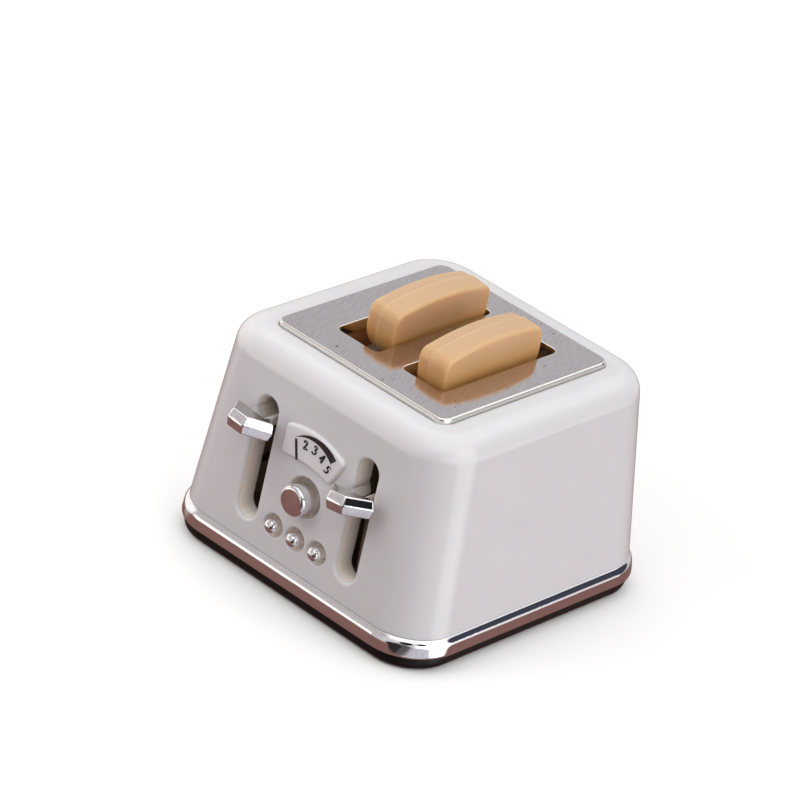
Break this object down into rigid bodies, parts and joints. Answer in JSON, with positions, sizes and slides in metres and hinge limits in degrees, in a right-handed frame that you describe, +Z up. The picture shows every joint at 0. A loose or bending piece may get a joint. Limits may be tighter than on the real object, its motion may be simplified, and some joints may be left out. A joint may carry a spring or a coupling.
{
  "type": "toy toaster",
  "caption": "Doll's-house toy toaster: drafted white housing, brushed top with bread slots, sliding chrome levers, knob, push buttons and loose slices of toast.",
  "frame": {"origin": "on the surface the toaster stands on, below the centre of the top plate", "axes": "+Z up, -Y out of the front face with the levers, +X to the right seen from the front"},
  "size_m": [0.029, 0.0315, 0.0233],
  "materials": {
    "white_plastic": "glossy moulded white",
    "brushed_plate": "brushed nickel plating",
    "plain_steel": "plain zinc-plated steel",
    "dark_plastic": "matt dark brown",
    "chrome_plating": "bright plating",
    "black_plastic": "semi-gloss moulded black",
    "spring_steel": "plain rolled strip",
    "grey_plastic": "matt warm grey",
    "toast_plastic": "satin toast brown"
  },
  "bodies": {
    "case": {"shell": "white_plastic", "top_plate": "brushed_plate", "plate_clips": "plain_steel", "bread_guide": "dark_plastic", "trim_ring": "chrome_plating", "base": "black_plastic", "base_screws": "plain_steel", "left_guide_post": "plain_steel", "right_guide_post": "plain_steel", "button_spring": "spring_steel"},
    "left_lever_group": {"left_lever": "chrome_plating", "left_carriage": "grey_plastic"},
    "right_lever_group": {"right_lever": "chrome_plating", "right_carriage": "grey_plastic"},
    "left_slice": {"left_toast": "toast_plastic"},
    "right_slice": {"right_toast": "toast_plastic"},
    "knob_group": {"browning_knob": "chrome_plating", "knob_retainer": "grey_plastic"},
    "left_button_group": {"left_button": "chrome_plating"},
    "centre_button_group": {"centre_button": "chrome_plating"},
    "right_button_group": {"right_button": "chrome_plating"}
  },
  "joints": [
    {"name": "left_lever_slide", "type": "slide", "parent": "case", "child": "left_lever_group", "axis": [0, 0, 1], "range_m": [-0.008, 0.0005]},
    {"name": "right_lever_slide", "type": "slide", "parent": "case", "child": "right_lever_group", "axis": [0, 0, 1], "range_m": [-0.0063, 0.0009]},
    {"name": "left_toast_lift_off", "type": "slide", "parent": "left_lever_group", "child": "left_slice", "axis": [0, 0, 1], "range_m": [0, 0.009]},
    {"name": "right_toast_lift_off", "type": "slide", "parent": "right_lever_group", "child": "right_slice", "axis": [0, 0, 1], "range_m": [0, 0.009]},
    {"name": "browning_turn", "type": "hinge", "parent": "case", "child": "knob_group", "pos_m": [0, -0.01367, 0.0094], "axis": [0, 0.9973, -0.0738], "continuous": true},
    {"name": "left_button_press", "type": "slide", "parent": "case", "child": "left_button_group", "axis": [0, 0.9973, -0.0738], "range_m": [0, 0.0003], "stiffness_N_per_m": 60, "springref_m": -0.0003},
    {"name": "centre_button_press", "type": "slide", "parent": "case", "child": "centre_button_group", "axis": [0, 0.9973, -0.0738], "range_m": [0, 0.0003], "stiffness_N_per_m": 60, "springref_m": -0.0003},
    {"name": "right_button_press", "type": "slide", "parent": "case", "child": "right_button_group", "axis": [0, 0.9973, -0.0738], "range_m": [0, 0.0003], "stiffness_N_per_m": 60, "springref_m": -0.0003}
  ]
}
